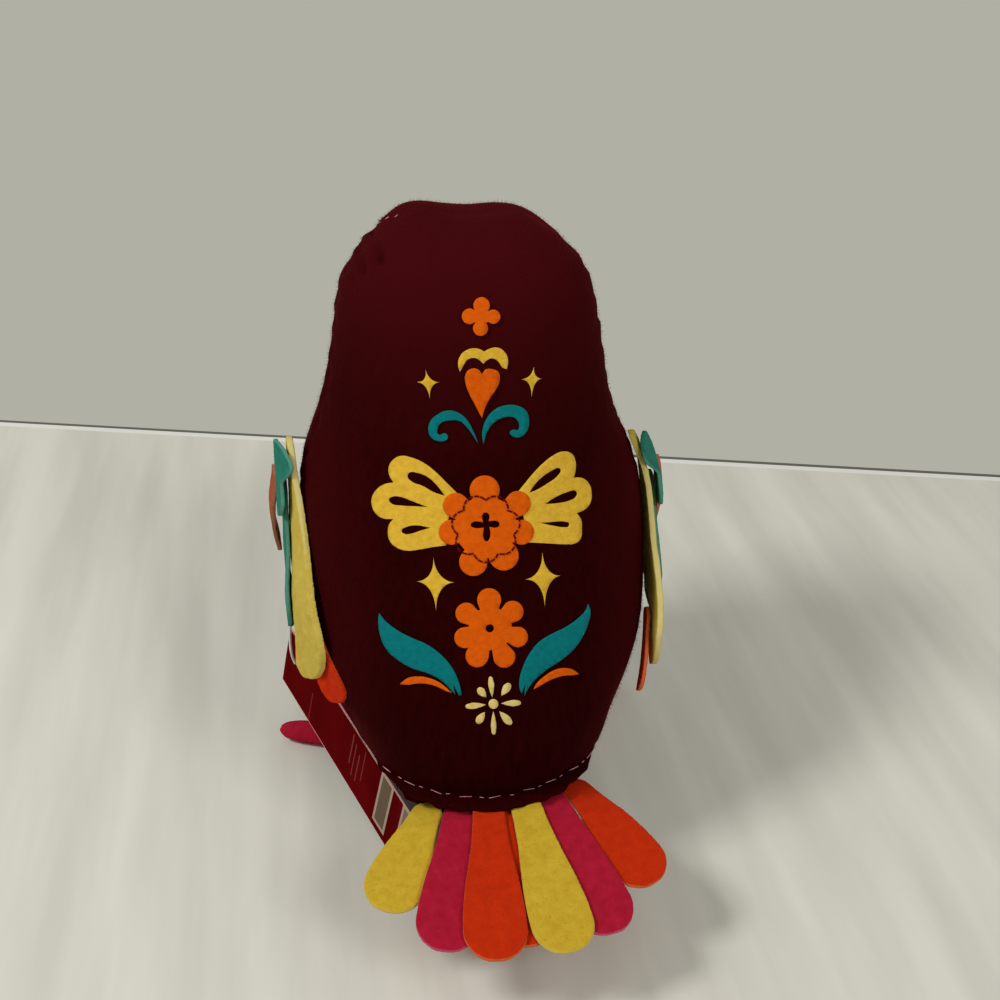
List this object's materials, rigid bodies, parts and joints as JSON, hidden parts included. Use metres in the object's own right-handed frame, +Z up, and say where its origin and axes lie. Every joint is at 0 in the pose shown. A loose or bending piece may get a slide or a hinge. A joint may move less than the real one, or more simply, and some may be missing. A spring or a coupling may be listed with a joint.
{
  "type": "bird ornament",
  "caption": "Free-standing stuffed fleece and felt bird with layered felt wings that lift, a felt tail fan held in a pinched seam, padded feet and a hanging paper tag.",
  "frame": {"origin": "middle of the bird's footprint box, on the floor it stands on", "axes": "+Z up, +Y to the back (the tail side), the bird faces -Y, +X to the bird's left"},
  "size_m": [0.1138, 0.158, 0.1685],
  "materials": {
    "burgundy_fleece": "brushed short nap",
    "yellow_felt": "felted",
    "pink_felt": "felted",
    "orange_felt": "felted",
    "teal_felt": "felted",
    "coral_felt": "felted",
    "white_fibre": "loose fibre filling",
    "pellet_cloth": "plain woven",
    "steel_wire": "bare drawn wire",
    "black_bead": "glossy",
    "tag_paper": "smooth coated card, stands in for printed paper",
    "clear_nylon": "smooth thread"
  },
  "bodies": {
    "bird": {"back_panel": "burgundy_fleece", "front_panel": "burgundy_fleece", "underside_panel": "burgundy_fleece", "stuffing": "white_fibre", "pellet_bag": "pellet_cloth", "tail_feather_1": "yellow_felt", "tail_feather_2": "pink_felt", "tail_feather_3": "orange_felt", "tail_feather_4": "yellow_felt", "tail_feather_5": "pink_felt", "tail_feather_6": "orange_felt", "tail_backing_feather": "orange_felt", "left_foot": "pink_felt", "left_leg_wire": "steel_wire", "left_eye_disc": "yellow_felt", "left_eye_bead": "black_bead", "right_foot": "pink_felt", "right_leg_wire": "steel_wire", "right_eye_disc": "yellow_felt", "right_eye_bead": "black_bead", "beak": "yellow_felt", "tag_loop": "clear_nylon"},
    "left_wing": {"left_wing_inner_feather": "orange_felt", "left_wing_main_leaf": "yellow_felt", "left_wing_covert_leaf": "teal_felt", "left_wing_shoulder_leaf": "teal_felt", "left_wing_outer_leaf": "coral_felt"},
    "right_wing": {"right_wing_inner_feather": "orange_felt", "right_wing_main_leaf": "yellow_felt", "right_wing_covert_leaf": "teal_felt", "right_wing_shoulder_leaf": "teal_felt", "right_wing_outer_leaf": "coral_felt"},
    "tag": {"tag_card": "tag_paper"}
  },
  "joints": [
    {"name": "left_wing_lift", "type": "hinge", "parent": "bird", "child": "left_wing", "pos_m": [0.04341, -0.0304, 0.111], "axis": [0, -1, 0], "range_deg": [0, 70]},
    {"name": "right_wing_lift", "type": "hinge", "parent": "bird", "child": "right_wing", "pos_m": [-0.04529, -0.0274, 0.11], "axis": [0, 1, 0], "range_deg": [0, 70]},
    {"name": "tag_swing", "type": "hinge", "parent": "bird", "child": "tag", "pos_m": [0.04877, -0.03608, 0.02636], "axis": [0, 0, -1], "range_deg": [0, 50]}
  ]
}
